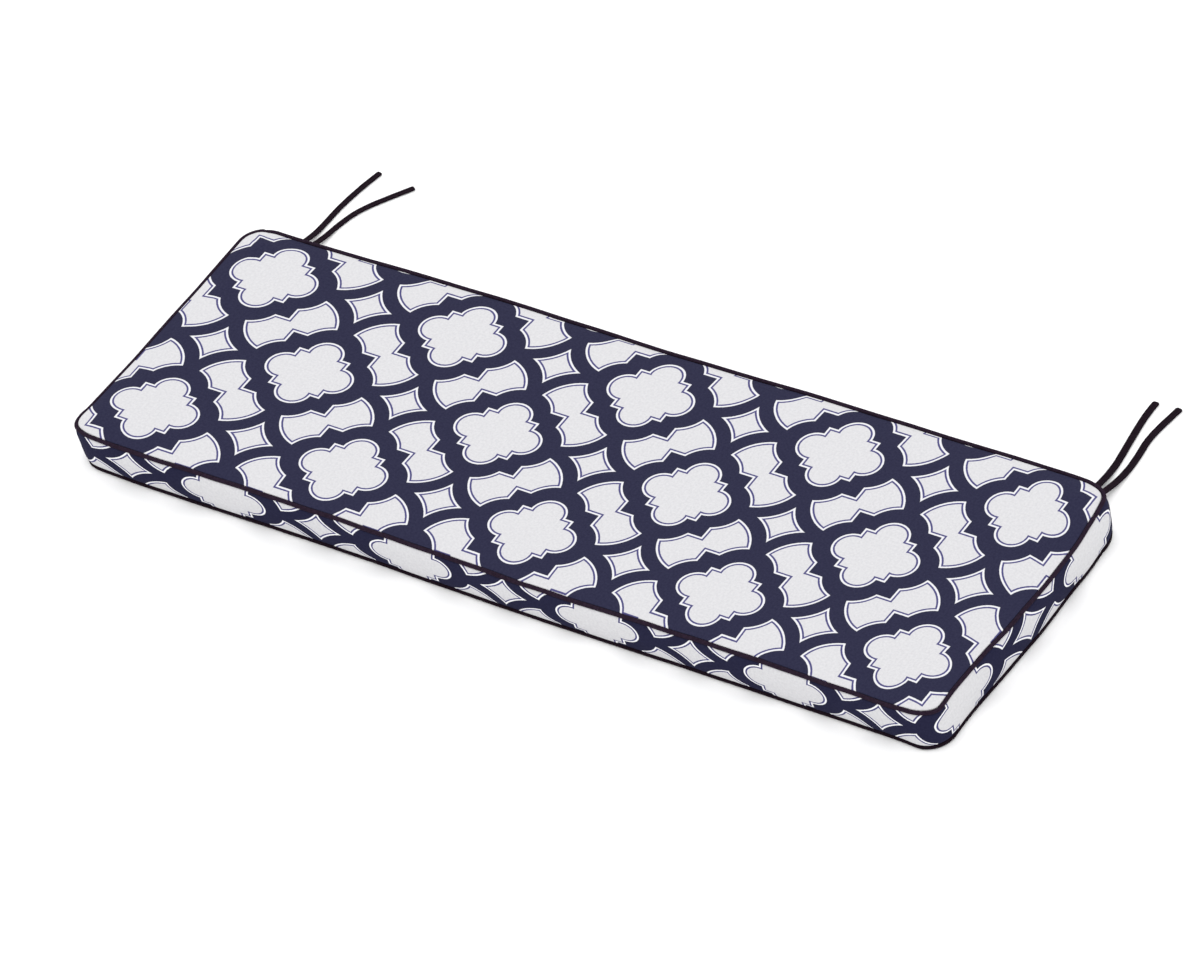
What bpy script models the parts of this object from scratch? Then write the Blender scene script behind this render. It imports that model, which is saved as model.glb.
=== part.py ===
"""A boxed bench cushion with piped seams and two pairs of tie straps.

Units are metres, +Z is up. The cushion lies on its underside at z = 0, its length runs along X
and its ties leave the back, towards +Y. Run with: blender --background --python part.py
"""

import math

import bpy

# Seam line: the middle of the piping, seen from above.
LENGTH = 1.180
DEPTH = 0.402
END_TAPER = 0.036  # the right end is sewn a little deeper than the left, per metre of X
DRAW_IN_SIDES = 0.0015  # the long sides pull in by this much between their corners
DRAW_IN_ENDS = 0.0030

# Corner name: (side along X, side along Y, radius of the seam line, start of its arc in degrees).
CORNERS = {
    "back_right": (1, 1, 0.048, 0),
    "back_left": (-1, 1, 0.035, 90),
    "front_left": (-1, -1, 0.031, 180),
    "front_right": (1, -1, 0.033, 270),
}
CORNER_STEPS = 8
SIDE_STEPS = 14
END_STEPS = 5
TIGHTEST_RADIUS = 0.012  # corners of the rings well inside a panel

PIPING_RADIUS = 0.0025
GAP = 0.0003  # between two pieces that touch
BOTTOM_SEAM = 0.0036  # height of the lower piping's middle
TOP_SEAM = 0.0558

# Each seam's hollow, as angles round its piping: 0 points outwards and 90 points up.
BOTTOM_HOLLOW = (260, 85)
TOP_HOLLOW = (275, 108)
HOLLOW_STEPS = 4

# Underside: (inset from the seam line, height).
UNDERSIDE = ((0.030, 0.0), (0.010, 0.0))
# Boxing: (share of the height between the seams' hollows, how far it bulges past the seam line).
BOXING = ((0.15, 0.0016), (0.38, 0.0029), (0.62, 0.0031), (0.86, 0.0018))
# Top panel: (inset from the seam line, rise above the top seam).
TOP_PANEL = (
    (0.007, 0.0042),
    (0.018, 0.0060),
    (0.040, 0.0074),
    (0.080, 0.0081),
    (0.130, 0.0084),
    (0.180, 0.0085),
)

# Ties: narrow straps of folded cloth, sewn to the back boxing just above its lower seam.
TIE_WIDTH = 0.0074
TIE_THICKNESS = 0.0026
TIE_ROOT_HEIGHT = 0.0125
TIE_ROOT_OUTSET = 0.0014  # where the boxing stands at that height, past the seam line
TIE_ON_FLOOR = 0.0016  # height of a strap's middle where it lies flat
TIE_SAMPLES = 2  # points read from the smooth route for each point chosen below

# Route of each strap from its root: (x, distance behind the root, height of its middle).
TIE_ROUTES = {
    "tie_left_outer": (
        (-0.5570, 0.000, TIE_ROOT_HEIGHT),
        (-0.5566, 0.014, 0.0120),
        (-0.5558, 0.030, 0.0094),
        (-0.5550, 0.046, 0.0056),
        (-0.5548, 0.064, 0.0026),
        (-0.5548, 0.084, TIE_ON_FLOOR),
        (-0.5545, 0.108, TIE_ON_FLOOR),
        (-0.5525, 0.132, TIE_ON_FLOOR),
        (-0.5490, 0.158, TIE_ON_FLOOR),
        (-0.5440, 0.184, TIE_ON_FLOOR),
    ),
    "tie_left_inner": (
        (-0.5440, 0.000, TIE_ROOT_HEIGHT),
        (-0.5434, 0.014, 0.0120),
        (-0.5424, 0.030, 0.0094),
        (-0.5412, 0.046, 0.0058),
        (-0.5402, 0.062, 0.0030),
        (-0.5380, 0.084, TIE_ON_FLOOR),
        (-0.5325, 0.107, TIE_ON_FLOOR),
        (-0.5235, 0.127, TIE_ON_FLOOR),
        (-0.5085, 0.151, TIE_ON_FLOOR),
        (-0.4910, 0.177, TIE_ON_FLOOR),
    ),
    "tie_right_inner": (
        (0.5300, 0.000, TIE_ROOT_HEIGHT),
        (0.5300, 0.014, 0.0120),
        (0.5298, 0.030, 0.0096),
        (0.5290, 0.046, 0.0064),
        (0.5280, 0.064, 0.0034),
        (0.5262, 0.086, TIE_ON_FLOOR),
        (0.5230, 0.110, TIE_ON_FLOOR),
        (0.5196, 0.134, TIE_ON_FLOOR),
        (0.5165, 0.158, TIE_ON_FLOOR),
        (0.5150, 0.178, TIE_ON_FLOOR),
        (0.5150, 0.195, TIE_ON_FLOOR),
    ),
    "tie_right_outer": (
        (0.5400, 0.000, TIE_ROOT_HEIGHT),
        (0.5408, 0.014, 0.0120),
        (0.5420, 0.030, 0.0096),
        (0.5433, 0.046, 0.0064),
        (0.5440, 0.064, 0.0034),
        (0.5438, 0.086, TIE_ON_FLOOR),
        (0.5422, 0.108, TIE_ON_FLOOR),
        (0.5395, 0.132, TIE_ON_FLOOR),
        (0.5402, 0.155, TIE_ON_FLOOR),
        (0.5428, 0.176, TIE_ON_FLOOR),
        (0.5455, 0.196, TIE_ON_FLOOR),
    ),
}

# Material name: (colour, roughness).
MATERIALS = {
    "printed_cloth": ((0.22, 0.22, 0.30, 1), 0.85),
    "dark_piping": ((0.020, 0.010, 0.018, 1), 0.8),
    "dark_strap": ((0.020, 0.010, 0.018, 1), 0.85),
}


def clear_scene():
    for obj in list(bpy.data.objects):
        bpy.data.objects.remove(obj, do_unlink=True)


def material(name):
    """A plain cloth material from the table above, made once."""
    if name in bpy.data.materials:
        return bpy.data.materials[name]
    color, roughness = MATERIALS[name]
    made = bpy.data.materials.new(name)
    made.use_nodes = True
    shader = made.node_tree.nodes["Principled BSDF"]
    shader.inputs["Base Color"].default_value = color
    shader.inputs["Roughness"].default_value = roughness
    shader.inputs["Metallic"].default_value = 0.0
    made.diffuse_color = color
    return made


def sewn(x, y):
    """Where a point of the plain rounded rectangle lies once the cover is sewn and filled."""
    along = x / (LENGTH / 2)
    across = y / (DEPTH / 2)
    end_pull = DRAW_IN_ENDS / (LENGTH / 2) * (1 - across**2)
    side_pull = DRAW_IN_SIDES / (DEPTH / 2) * (1 - along**2)
    return x * (1 - end_pull), y * (1 + END_TAPER * x - side_pull)


def outline(offset):
    """Plan of the cushion, grown by an offset from its seam line, anticlockwise from the right end."""
    arcs = []
    for side_x, side_y, seam_radius, start in CORNERS.values():
        radius = max(seam_radius + offset, TIGHTEST_RADIUS)
        center_x = side_x * (LENGTH / 2 + offset - radius)
        center_y = side_y * (DEPTH / 2 + offset - radius)
        arc = []
        for step in range(CORNER_STEPS + 1):
            angle = math.radians(start + 90 * step / CORNER_STEPS)
            arc.append((center_x + radius * math.cos(angle), center_y + radius * math.sin(angle)))
        arcs.append(arc)
    points = []
    for index, arc in enumerate(arcs):
        points += arc
        start, end = arc[-1], arcs[(index + 1) % len(arcs)][0]
        steps = SIDE_STEPS if index % 2 == 0 else END_STEPS
        for step in range(1, steps):
            share = step / steps
            points.append((start[0] + (end[0] - start[0]) * share, start[1] + (end[1] - start[1]) * share))
    return [sewn(x, y) for x, y in points]


def hollow(height, start, end):
    """Section through a seam's hollow as (offset, height), just clear of the round piping in it."""
    step = math.radians((end - start) / HOLLOW_STEPS)
    radius = (PIPING_RADIUS + GAP) / math.cos(step / 2)
    angles = [math.radians(start) + step * index for index in range(HOLLOW_STEPS + 1)]
    return [(radius * math.cos(angle), height + radius * math.sin(angle)) for angle in angles]


def cushion_section():
    """The whole section from the underside to the top panel, as (offset from the seam line, height)."""
    lower = hollow(BOTTOM_SEAM, *BOTTOM_HOLLOW)
    upper = hollow(TOP_SEAM, *TOP_HOLLOW)
    base, rise = lower[-1][1], upper[0][1] - lower[-1][1]
    section = [(-inset, height) for inset, height in UNDERSIDE]
    section += lower
    section += [(bulge, base + rise * share) for share, bulge in BOXING]
    section += upper
    section += [(-inset, TOP_SEAM + lift) for inset, lift in TOP_PANEL]
    return section


def make_cushion():
    """One filled solid: rings of the plan outline, joined up the section and capped at both ends."""
    points, faces = [], []
    for offset, height in cushion_section():
        points.append([(x, y, height) for x, y in outline(offset)])
    count = len(points[0])
    for ring in range(len(points) - 1):
        for index in range(count):
            after = (index + 1) % count
            low, high = ring * count, (ring + 1) * count
            faces.append((low + index, low + after, high + after, high + index))
    faces.append(tuple(reversed(range(count))))
    faces.append(tuple(range((len(points) - 1) * count, len(points) * count)))
    mesh = bpy.data.meshes.new("cushion")
    mesh.from_pydata([point for ring in points for point in ring], [], faces)
    mesh.materials.append(material("printed_cloth"))
    mesh.shade_smooth()
    mesh.set_sharp_from_angle(angle=math.radians(40))
    cushion = bpy.data.objects.new("cushion", mesh)
    bpy.context.collection.objects.link(cushion)
    return cushion


def tube(name, points, radius, finish, closed):
    """A curve through the points, with a round section."""
    curve = bpy.data.curves.new(name, "CURVE")
    curve.dimensions = "3D"
    curve.twist_mode = "Z_UP"
    curve.bevel_depth = radius
    curve.bevel_resolution = 2
    curve.use_fill_caps = True
    spline = curve.splines.new("POLY")
    spline.points.add(len(points) - 1)
    for target, point in zip(spline.points, points):
        target.co = (*point, 1)
    spline.use_cyclic_u = closed
    spline.use_smooth = True
    curve.materials.append(material(finish))
    made = bpy.data.objects.new(name, curve)
    bpy.context.collection.objects.link(made)
    return made


def make_piping(name, height):
    """The round cord in a seam, all the way round the cushion."""
    points = [(x, y, height) for x, y in outline(0)]
    return tube(name, points, PIPING_RADIUS, "dark_piping", closed=True)


def back_face(x):
    """Y of the back boxing where a tie is sewn on."""
    return sewn(x, DEPTH / 2 + TIE_ROOT_OUTSET)[1]


def smooth_route(points, samples):
    """Points along a Catmull-Rom curve through the given ones."""
    padded = [points[0], *points, points[-1]]
    route = []
    for index in range(1, len(padded) - 2):
        before, start, end, after = padded[index - 1 : index + 3]
        for step in range(samples):
            t = step / samples
            route.append(
                tuple(
                    0.5
                    * (
                        2 * b
                        + (c - a) * t
                        + (2 * a - 5 * b + 4 * c - d) * t**2
                        + (3 * b - a - 3 * c + d) * t**3
                    )
                    for a, b, c, d in zip(before, start, end, after)
                )
            )
    return [*route, points[-1]]


def make_tie(name, route):
    """A flat strap: a round-edged band swept along its route, lying flat."""
    root_y = back_face(route[0][0]) + GAP
    points = [(x, root_y + behind, height) for x, behind, height in route]
    tie = tube(name, smooth_route(points, TIE_SAMPLES), TIE_THICKNESS / 2, "dark_strap", closed=False)
    tie.data.extrude = (TIE_WIDTH - TIE_THICKNESS) / 2
    for point in tie.data.splines[0].points:
        point.tilt = math.radians(90)
    return tie


clear_scene()
make_cushion()
make_piping("piping_bottom", BOTTOM_SEAM)
make_piping("piping_top", TOP_SEAM)
for tie_name, tie_route in TIE_ROUTES.items():
    make_tie(tie_name, tie_route)
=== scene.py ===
import math
import random

import bpy
import numpy as np
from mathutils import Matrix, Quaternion, Vector


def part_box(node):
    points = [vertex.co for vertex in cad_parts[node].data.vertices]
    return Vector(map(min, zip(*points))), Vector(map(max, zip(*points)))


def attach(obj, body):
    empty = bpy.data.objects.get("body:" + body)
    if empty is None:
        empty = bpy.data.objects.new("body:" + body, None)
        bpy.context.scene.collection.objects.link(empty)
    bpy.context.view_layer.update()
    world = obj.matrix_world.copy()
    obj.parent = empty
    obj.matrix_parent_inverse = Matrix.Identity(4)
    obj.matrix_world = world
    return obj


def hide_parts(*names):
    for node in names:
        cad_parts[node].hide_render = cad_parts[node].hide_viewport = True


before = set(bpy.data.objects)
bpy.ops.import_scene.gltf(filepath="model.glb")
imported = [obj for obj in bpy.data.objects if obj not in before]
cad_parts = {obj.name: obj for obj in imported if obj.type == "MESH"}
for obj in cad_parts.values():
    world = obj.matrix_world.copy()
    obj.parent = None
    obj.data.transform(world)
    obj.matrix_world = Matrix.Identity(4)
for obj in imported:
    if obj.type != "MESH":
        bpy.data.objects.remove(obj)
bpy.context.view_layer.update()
print("frame loaded:", len(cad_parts), "nodes")


cameraView = {
    "lookAt": Vector((-0.0101, 0.0297, 0.0)),
    "azimuth": 39.163,  # degrees, 0 looks along +Y
    "elevation": 41.177,
    "roll": -10.335,
    "distance": 14.91,
    "lens": 390.0,  # mm on a 36 mm sensor: a long lens, so there is little perspective
    "sensor": 36.0,
    "clipStart": 0.5,
    "clipEnd": 200.0,
}


def placeCamera(view):
    azimuth, elevation = math.radians(view["azimuth"]), math.radians(view["elevation"])
    back = Vector((
        math.sin(azimuth) * math.cos(elevation),
        -math.cos(azimuth) * math.cos(elevation),
        math.sin(elevation),
    ))
    data = bpy.data.cameras.new("photoCamera")
    data.lens = view["lens"]
    data.sensor_width = view["sensor"]
    data.clip_start, data.clip_end = view["clipStart"], view["clipEnd"]
    camera = bpy.data.objects.new("photoCamera", data)
    camera.location = view["lookAt"] + back * view["distance"]
    camera.rotation_mode = "QUATERNION"
    roll = Quaternion((0, 0, 1), math.radians(view["roll"]))
    camera.rotation_quaternion = (-back).to_track_quat("-Z", "Y") @ roll
    bpy.context.scene.collection.objects.link(camera)
    bpy.context.scene.camera = camera


placeCamera(cameraView)
print("camera placed")


def feed(tree, socket, value):
    if isinstance(value, bpy.types.NodeSocket):
        tree.links.new(value, socket)
    else:
        socket.default_value = value


def put(tree, kind, inputs=None, **settings):
    # One node: its settings first, then its inputs by name or number.
    node = tree.nodes.new(kind)
    for name, value in settings.items():
        setattr(node, name, value)
    for key, value in (inputs or {}).items():
        feed(tree, node.inputs[key], value)
    return node


def calc(tree, operation, *values, clamp=False):
    node = put(tree, "ShaderNodeMath", dict(enumerate(values)), operation=operation, use_clamp=clamp)
    return node.outputs[0]


def fade(tree, away, reach):
    # 1 at no distance, down to 0 at the reach.
    return calc(tree, "SUBTRACT", 1.0, calc(tree, "DIVIDE", away, reach), clamp=True)


def vectorCalc(tree, operation, *values):
    node = put(tree, "ShaderNodeVectorMath", dict(enumerate(values)), operation=operation)
    return node.outputs["Value" if operation == "DISTANCE" else "Vector"]


def scaleVector(tree, vector, factor):
    return put(tree, "ShaderNodeVectorMath", {0: vector, "Scale": factor}, operation="SCALE").outputs[0]


def splitVector(tree, vector):
    return put(tree, "ShaderNodeSeparateXYZ", {0: vector}).outputs


def joinVector(tree, *parts):
    return put(tree, "ShaderNodeCombineXYZ", dict(enumerate(parts))).outputs[0]


def flatNoise(tree, vector, scale, detail, roughness=0.5):
    inputs = {"Vector": vector, "Scale": scale, "Detail": detail, "Roughness": roughness}
    return put(tree, "ShaderNodeTexNoise", inputs, noise_dimensions="2D").outputs


def floats(values):
    return {name: ("NodeSocketFloat", value) for name, value in values.items()}


def shapeStep(tree, kind, inputs=None, **settings):
    # One Geometry Nodes step, of which only the first output goes on.
    return put(tree, "GeometryNode" + kind, inputs, **settings).outputs[0]


def finishShape(tree, geometry, material):
    geometry = shapeStep(tree, "RealizeInstances", {0: geometry})
    geometry = shapeStep(tree, "SetShadeSmooth", {"Geometry": geometry})
    return shapeStep(tree, "SetMaterial", {"Geometry": geometry, "Material": material})


def newGroup(name, kind, inputs, outputs):
    # inputs: name -> (socket type, starting value or None); outputs: name -> socket type
    tree = bpy.data.node_groups.new(name, kind)
    for label, (socketType, value) in inputs.items():
        socket = tree.interface.new_socket(name=label, in_out="INPUT", socket_type=socketType)
        if value is not None:
            socket.default_value = value
    for label, socketType in outputs.items():
        tree.interface.new_socket(name=label, in_out="OUTPUT", socket_type=socketType)
    return tree, tree.nodes.new("NodeGroupInput").outputs, tree.nodes.new("NodeGroupOutput").inputs


def linkObject(name, mesh):
    made = bpy.data.objects.new(name, mesh)
    bpy.context.scene.collection.objects.link(made)
    return made


def pathObject(name, points, closed):
    # A bare line of edges for Geometry Nodes to sweep along.
    count = len(points)
    edges = [(index, index + 1) for index in range(count - 1)]
    if closed:
        edges.append((count - 1, 0))
    mesh = bpy.data.meshes.new(name)
    mesh.from_pydata([tuple(point) for point in points], edges, [])
    return linkObject(name, mesh)


def metres(*rows):
    return [tuple(value / 1000 for value in row) for row in rows]


def bake(piece, modifier):
    # Keeps what a modifier makes of the piece as its plain mesh.
    graph = bpy.context.evaluated_depsgraph_get()
    made = bpy.data.meshes.new_from_object(piece.evaluated_get(graph), depsgraph=graph)
    piece.modifiers.remove(modifier)
    piece.data = made
    made.name = piece.name


def growBand(piece, tree, look, width, thickness, seed, **materials):
    # Runs a band's Geometry Nodes tree on the piece and keeps the result as a plain mesh.
    values = {"Width": width, "Thickness": thickness, "Seed": float(seed), **materials}
    for label, key in bandSettings.items():
        values[label] = look[key]
    modifier = piece.modifiers.new("grow", "NODES")
    modifier.node_group = tree
    identifiers = {
        item.name: item.identifier
        for item in tree.interface.items_tree
        if item.item_type == "SOCKET" and item.in_out == "INPUT"
    }
    for label, value in values.items():
        modifier[identifiers[label]] = value
    bake(piece, modifier)


def mapAlong(mesh, perimeter):
    # UV map in metres from the sweep's own attributes: along the path, and round the section.
    loopPoints = np.empty(len(mesh.loops), np.int32)
    mesh.loops.foreach_get("vertex_index", loopPoints)
    along, around = (np.empty(len(mesh.vertices), np.float32) for _ in range(2))
    mesh.attributes["along"].data.foreach_get("value", along)
    mesh.attributes["around"].data.foreach_get("value", around)
    pathEnd = along.max()
    faceMap = np.column_stack((along[loopPoints], around[loopPoints] * perimeter))
    for face in mesh.polygons:
        # a face that closes the round, or the ring, carries on past the end and not back to 0
        span = slice(face.loop_start, face.loop_start + face.loop_total)
        if face.loop_total > 4:
            continue
        for axis, whole in ((0, pathEnd), (1, perimeter)):
            column = faceMap[span, axis]
            if column.max() - column.min() > whole / 2:
                column[column < whole / 2] += whole
    layer = mesh.uv_layers.new(name="clothMap")
    layer.data.foreach_set("uv", faceMap.astype(np.float32).ravel())
    for name in ("along", "around"):
        mesh.attributes.remove(mesh.attributes[name])


def smoothRoute(points, samples=12):
    # Points along a Catmull-Rom curve through the given ones.
    padded = np.array([points[0], *points, points[-1]], float)
    route = []
    for index in range(1, len(padded) - 2):
        a, b, c, d = padded[index - 1 : index + 3]
        for step in range(samples):
            t = step / samples
            route.append(0.5 * (2 * b + (c - a) * t + (2 * a - 5 * b + 4 * c - d) * t**2
                                + (3 * b - a - 3 * c + d) * t**3))
    return np.array([*route, padded[-1]])


cut = {
    "length": 1.180,  # seam to seam, along X
    "depth": 0.402,
    "endTaper": 0.036,  # the right end is sewn a little deeper than the left, per metre of X
    "drawInSides": 0.0015,
    "drawInEnds": 0.0030,
    # side along X, side along Y, radius of the seam line, start of its arc in degrees
    "corners": ((1, 1, 0.048, 0), (-1, 1, 0.035, 90), (-1, -1, 0.031, 180), (1, -1, 0.033, 270)),
    "tightest": 0.012,
    "cornerSteps": 8,
    "longSteps": 128,
    "shortSteps": 38,
}


def middleOf(node):
    low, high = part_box(node)
    return (low + high) / 2


def sewn(plan):
    # Where points of the plain rounded rectangle lie once the cover is sewn and filled.
    x, y = plan[:, 0], plan[:, 1]
    along, across = x / (cut["length"] / 2), y / (cut["depth"] / 2)
    endPull = cut["drawInEnds"] / (cut["length"] / 2) * (1 - across**2)
    sidePull = cut["drawInSides"] / (cut["depth"] / 2) * (1 - along**2)
    return np.column_stack((x * (1 - endPull), y * (1 + cut["endTaper"] * x - sidePull)))


def planRing(offset, cornerSteps=None, longSteps=None, shortSteps=None):
    # Plain plan outline at an offset from the seam line, anticlockwise from the back right corner.
    cornerSteps = cornerSteps or cut["cornerSteps"]
    sideSteps = (longSteps or cut["longSteps"], shortSteps or cut["shortSteps"])
    arcs = []
    for sideX, sideY, seamRadius, start in cut["corners"]:
        radius = max(seamRadius + offset, cut["tightest"])
        centre = np.array((
            sideX * (cut["length"] / 2 + offset - radius),
            sideY * (cut["depth"] / 2 + offset - radius),
        ))
        angles = np.radians(start + 90 * np.arange(cornerSteps + 1) / cornerSteps)
        arcs.append(centre + radius * np.column_stack((np.cos(angles), np.sin(angles))))
    parts = []
    for number, arc in enumerate(arcs):
        steps = sideSteps[number % 2]
        shares = np.arange(1, steps) / steps
        parts += [arc, arc[-1] + np.outer(shares, arcs[(number + 1) % 4][0] - arc[-1])]
    return np.concatenate(parts)


def outwardOf(points):
    # Unit normals in plan of a closed anticlockwise ring.
    tangent = np.roll(points, -1, axis=0) - np.roll(points, 1, axis=0)
    normal = np.column_stack((tangent[:, 1], -tangent[:, 0]))
    return normal / np.linalg.norm(normal, axis=1)[:, None]


def runningShare(points):
    # Share of the way round for each point of a closed ring, from 0 at the first.
    steps = np.linalg.norm(np.roll(points, -1, axis=0) - points, axis=1)
    return np.concatenate(([0], np.cumsum(steps)[:-1])) / steps.sum(), steps.sum()


def waver(share, size, seed):
    # A smooth uneven wave that closes on itself after one round.
    draw = random.Random(seed)
    total = np.zeros(len(share))
    for turn in seams["turns"]:
        total += np.sin(2 * math.pi * (turn * share + draw.random())) * draw.uniform(*seams["turnSizes"])
    return total * size / math.sqrt(len(seams["turns"]))


seams = {
    "topHeight": middleOf("piping_top").z,
    "bottomHeight": middleOf("piping_bottom").z - 0.0006,  # pressed down a little by the filling
    "bottomInset": 0.0014,  # and rolled under
    "radius": (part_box("piping_top")[1].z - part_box("piping_top")[0].z) / 2,
    # uneven sewing: sizes outwards and upwards, turns in one round and their shares, and seeds
    "waver": {"top": (0.00045, 0.00040), "bottom": (0.00022, 0.0)},
    "turns": (7, 11, 16, 23, 31, 44),
    "turnSizes": (0.5, 1.0),
    "seeds": {"top": 3, "bottom": 8},
}


# How far each seam has come out of the plain shape once it is filled and sat on, in millimetres:
# (x and y on the seam, outwards, upwards), anticlockwise from the back right corner.
seamDrift = {
    "top": metres(
        (590, 160, -4.6, 0), (575, 193, 1.5, 0), (548, 201, -0.2, 0), (500, 201, 1.6, 0),
        (340, 201, 1.4, 0), (220, 201, 2.4, 0), (40, 201, -0.3, 0), (-140, 201, 0.9, 0),
        (-300, 201, 0.9, 0), (-410, 201, -0.3, -1), (-500, 201, -1.9, -2.2), (-565, 198, -1, -2),
        (-590, 165, 0, 0), (-590, -130, 0, 0), (-589, -172, 2.2, -1), (-582, -188, 4.6, -1.8),
        (-567, -198, 0.6, -0.8), (-500, -201, 1, -2), (-280, -201, 0.4, -1), (-100, -201, 1.2, -2.4),
        (80, -201, 2, -4.2), (300, -201, 0.6, -1.4), (500, -201, 1, -1.8), (566, -199, 0.6, -1.6),
        (582, -188, 1.6, -2), (589, -176, -1.8, -1.2), (590, -150, -2.6, -0.4), (590, -90, -0.5, 0),
        (590, -30, 4.2, 0), (590, 30, 5.4, 0), (590, 100, 3, 0),
    ),
    "bottom": metres(
        (590, 155, 0, 0), (582, 182, 2.6, 0), (566, 197, 3.6, 0), (500, 201, 1, 0), (300, 201, 0, 0),
        (-590, 0, 0, 0), (-575, -190, -2.4, 0), (-550, -201, -1.8, 0), (-470, -201, -0.2, 0),
        (-230, -201, -1.2, 0), (-80, -201, 1.2, 0), (50, -201, 2.3, 0), (180, -201, 1.5, 0),
        (300, -201, 0.7, 0), (420, -201, 0.2, 0), (500, -201, -0.1, 0), (552, -201, 0.5, 0),
        (580, -190, 3.1, 0), (590, -130, 2.1, 0), (590, -50, 5.3, 0), (590, 20, 6.6, 0), (590, 80, 4, 0),
        (590, 115, 3, 0),
    ),
}


def shareAt(x, y):
    # Share of the way round of the seam's point nearest to a place in plan.
    ring = planRing(0)
    return runningShare(ring)[0][np.argmin(np.linalg.norm(ring - (x, y), axis=1))]


def byShare(share, marks):
    # Smooth values between marks (share of the way round, value, ...) of a closed seam.
    marks = sorted(marks)
    before = [(mark[0] - 1, *mark[1:]) for mark in marks[-2:]]
    after = [(mark[0] + 1, *mark[1:]) for mark in marks[:2]]
    dense = smoothRoute(before + marks + after)
    return [np.interp(share, dense[:, 0], dense[:, column]) for column in range(1, dense.shape[1])]


def seamShift(share, seam):
    # Slow drift and quick waver of a seam, each as (outwards, upwards).
    drift = byShare(share, [(shareAt(x, y), outwards, up) for x, y, outwards, up in seamDrift[seam]])
    seed = seams["seeds"][seam]
    quick = [waver(share, size, seed + way) for way, size in enumerate(seams["waver"][seam])]
    return np.array(drift), np.array(quick)


printSizes = {  # in half repeats of the pattern
    "Reach": 0.264,  # medallion: four lobes this far from its middle
    "Lobe": 0.181,
    "Barb": 0.274,  # and a square of this half side
    "Frame Reach": 0.3105,  # the same figure, larger, is cut out of what is round it
    "Frame Lobe": 0.307,
    "Frame Barb": 0.427,
    "Ring Inner": 0.431,  # circles round the points between four figures
    "Star Centre": 0.426,  # circles that cut the stars: how far from one their middles are
    "Star Radius": 0.4565,
    "Edge": 0.004,
    "Line Inset": 0.0318,  # thin line inside each light shape's edge
    "Line Width": 0.0188,
    "Softness": 0.004,
}


def rosette(tree, point, axes, lobe, barb):
    # Distance outside a four-lobed figure, for a point folded into one quarter.
    lobes = [vectorCalc(tree, "DISTANCE", point, axis) for axis in axes]
    nearLobe = calc(tree, "SUBTRACT", calc(tree, "MINIMUM", *lobes), lobe)
    parts = splitVector(tree, point)
    nearBarb = calc(tree, "SUBTRACT", calc(tree, "MAXIMUM", parts["X"], parts["Y"]), barb)
    return calc(tree, "MINIMUM", nearLobe, nearBarb)


def trellisPrint():
    # Medallions, waisted panels and four-point stars: masks of the light shapes, their line and fill.
    tree, given, made = newGroup(
        "trellisPrint",
        "ShaderNodeTree",
        {
            **dict.fromkeys(("Cloth", "Middle", "Half Repeat"), ("NodeSocketVector", None)),
            **floats(printSizes),
        },
        dict.fromkeys(("Light", "Line", "Fill"), "NodeSocketFloat"),
    )
    centred = vectorCalc(tree, "SUBTRACT", given["Cloth"], given["Middle"])
    parts = splitVector(tree, vectorCalc(tree, "DIVIDE", centred, given["Half Repeat"]))
    point = joinVector(tree, *[calc(tree, "PINGPONG", parts[axis], 1.0) for axis in ("X", "Y")])
    across = vectorCalc(tree, "SUBTRACT", (1.0, 1.0, 0.0), point)

    figures = []
    for size in ("", "Frame "):
        reach, lobe, barb = (given[size + name] for name in ("Reach", "Lobe", "Barb"))
        axes = (joinVector(tree, reach), joinVector(tree, 0.0, reach))
        pair = [rosette(tree, place, axes, lobe, barb) for place in (point, across)]
        figures.append(calc(tree, "MINIMUM", *pair))
    medallion, frameEdge = figures

    fromRing = vectorCalc(tree, "DISTANCE", point, (0.5, 0.5, 0.0))
    panel = calc(tree, "MINIMUM", calc(tree, "SUBTRACT", given["Ring Inner"], fromRing), frameEdge)
    close = given["Star Centre"]
    far = calc(tree, "SUBTRACT", 1.0, close)
    middles = (joinVector(tree, far, close), joinVector(tree, close, far))
    cuts = [vectorCalc(tree, "DISTANCE", point, middle) for middle in middles]
    pastCuts = calc(tree, "SUBTRACT", calc(tree, "MINIMUM", *cuts), given["Star Radius"])
    star = calc(tree, "MINIMUM", pastCuts, frameEdge)
    others = calc(tree, "MAXIMUM", panel, star)
    inside = calc(tree, "MAXIMUM", calc(tree, "MULTIPLY", medallion, -1.0), others)

    def past(edge):
        rise = calc(tree, "DIVIDE", calc(tree, "SUBTRACT", inside, edge), given["Softness"])
        return calc(tree, "ADD", rise, 0.5, clamp=True)

    halfLine = calc(tree, "MULTIPLY", given["Line Width"], 0.5)
    lineStart = past(calc(tree, "SUBTRACT", given["Line Inset"], halfLine))
    lineEnd = past(calc(tree, "ADD", given["Line Inset"], halfLine))
    feed(tree, made["Light"], past(given["Edge"]))
    feed(tree, made["Line"], calc(tree, "SUBTRACT", lineStart, lineEnd))
    feed(tree, made["Fill"], lineEnd)
    return tree


clothSizes = {
    "thread": 0.0006,  # plain weave: from one thread to the next
    "slub": 0.35,  # how much uneven yarn lifts it
    "yarnNoise": (900.0, 60.0),  # across a yarn and along it, per metre
    "yarnDetail": (2.0, 0.6),
    "ribNoise": (260.0, 2.0),  # twill: its ribs' unevenness
    "ribDrift": 0.4,
}


def clothGroup(name, *sizes):
    inputs = {"Cloth": ("NodeSocketVector", None), **floats(dict.fromkeys(sizes))}
    return newGroup(name, "ShaderNodeTree", inputs, dict.fromkeys(("Height", "Tone"), "NodeSocketFloat"))


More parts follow.
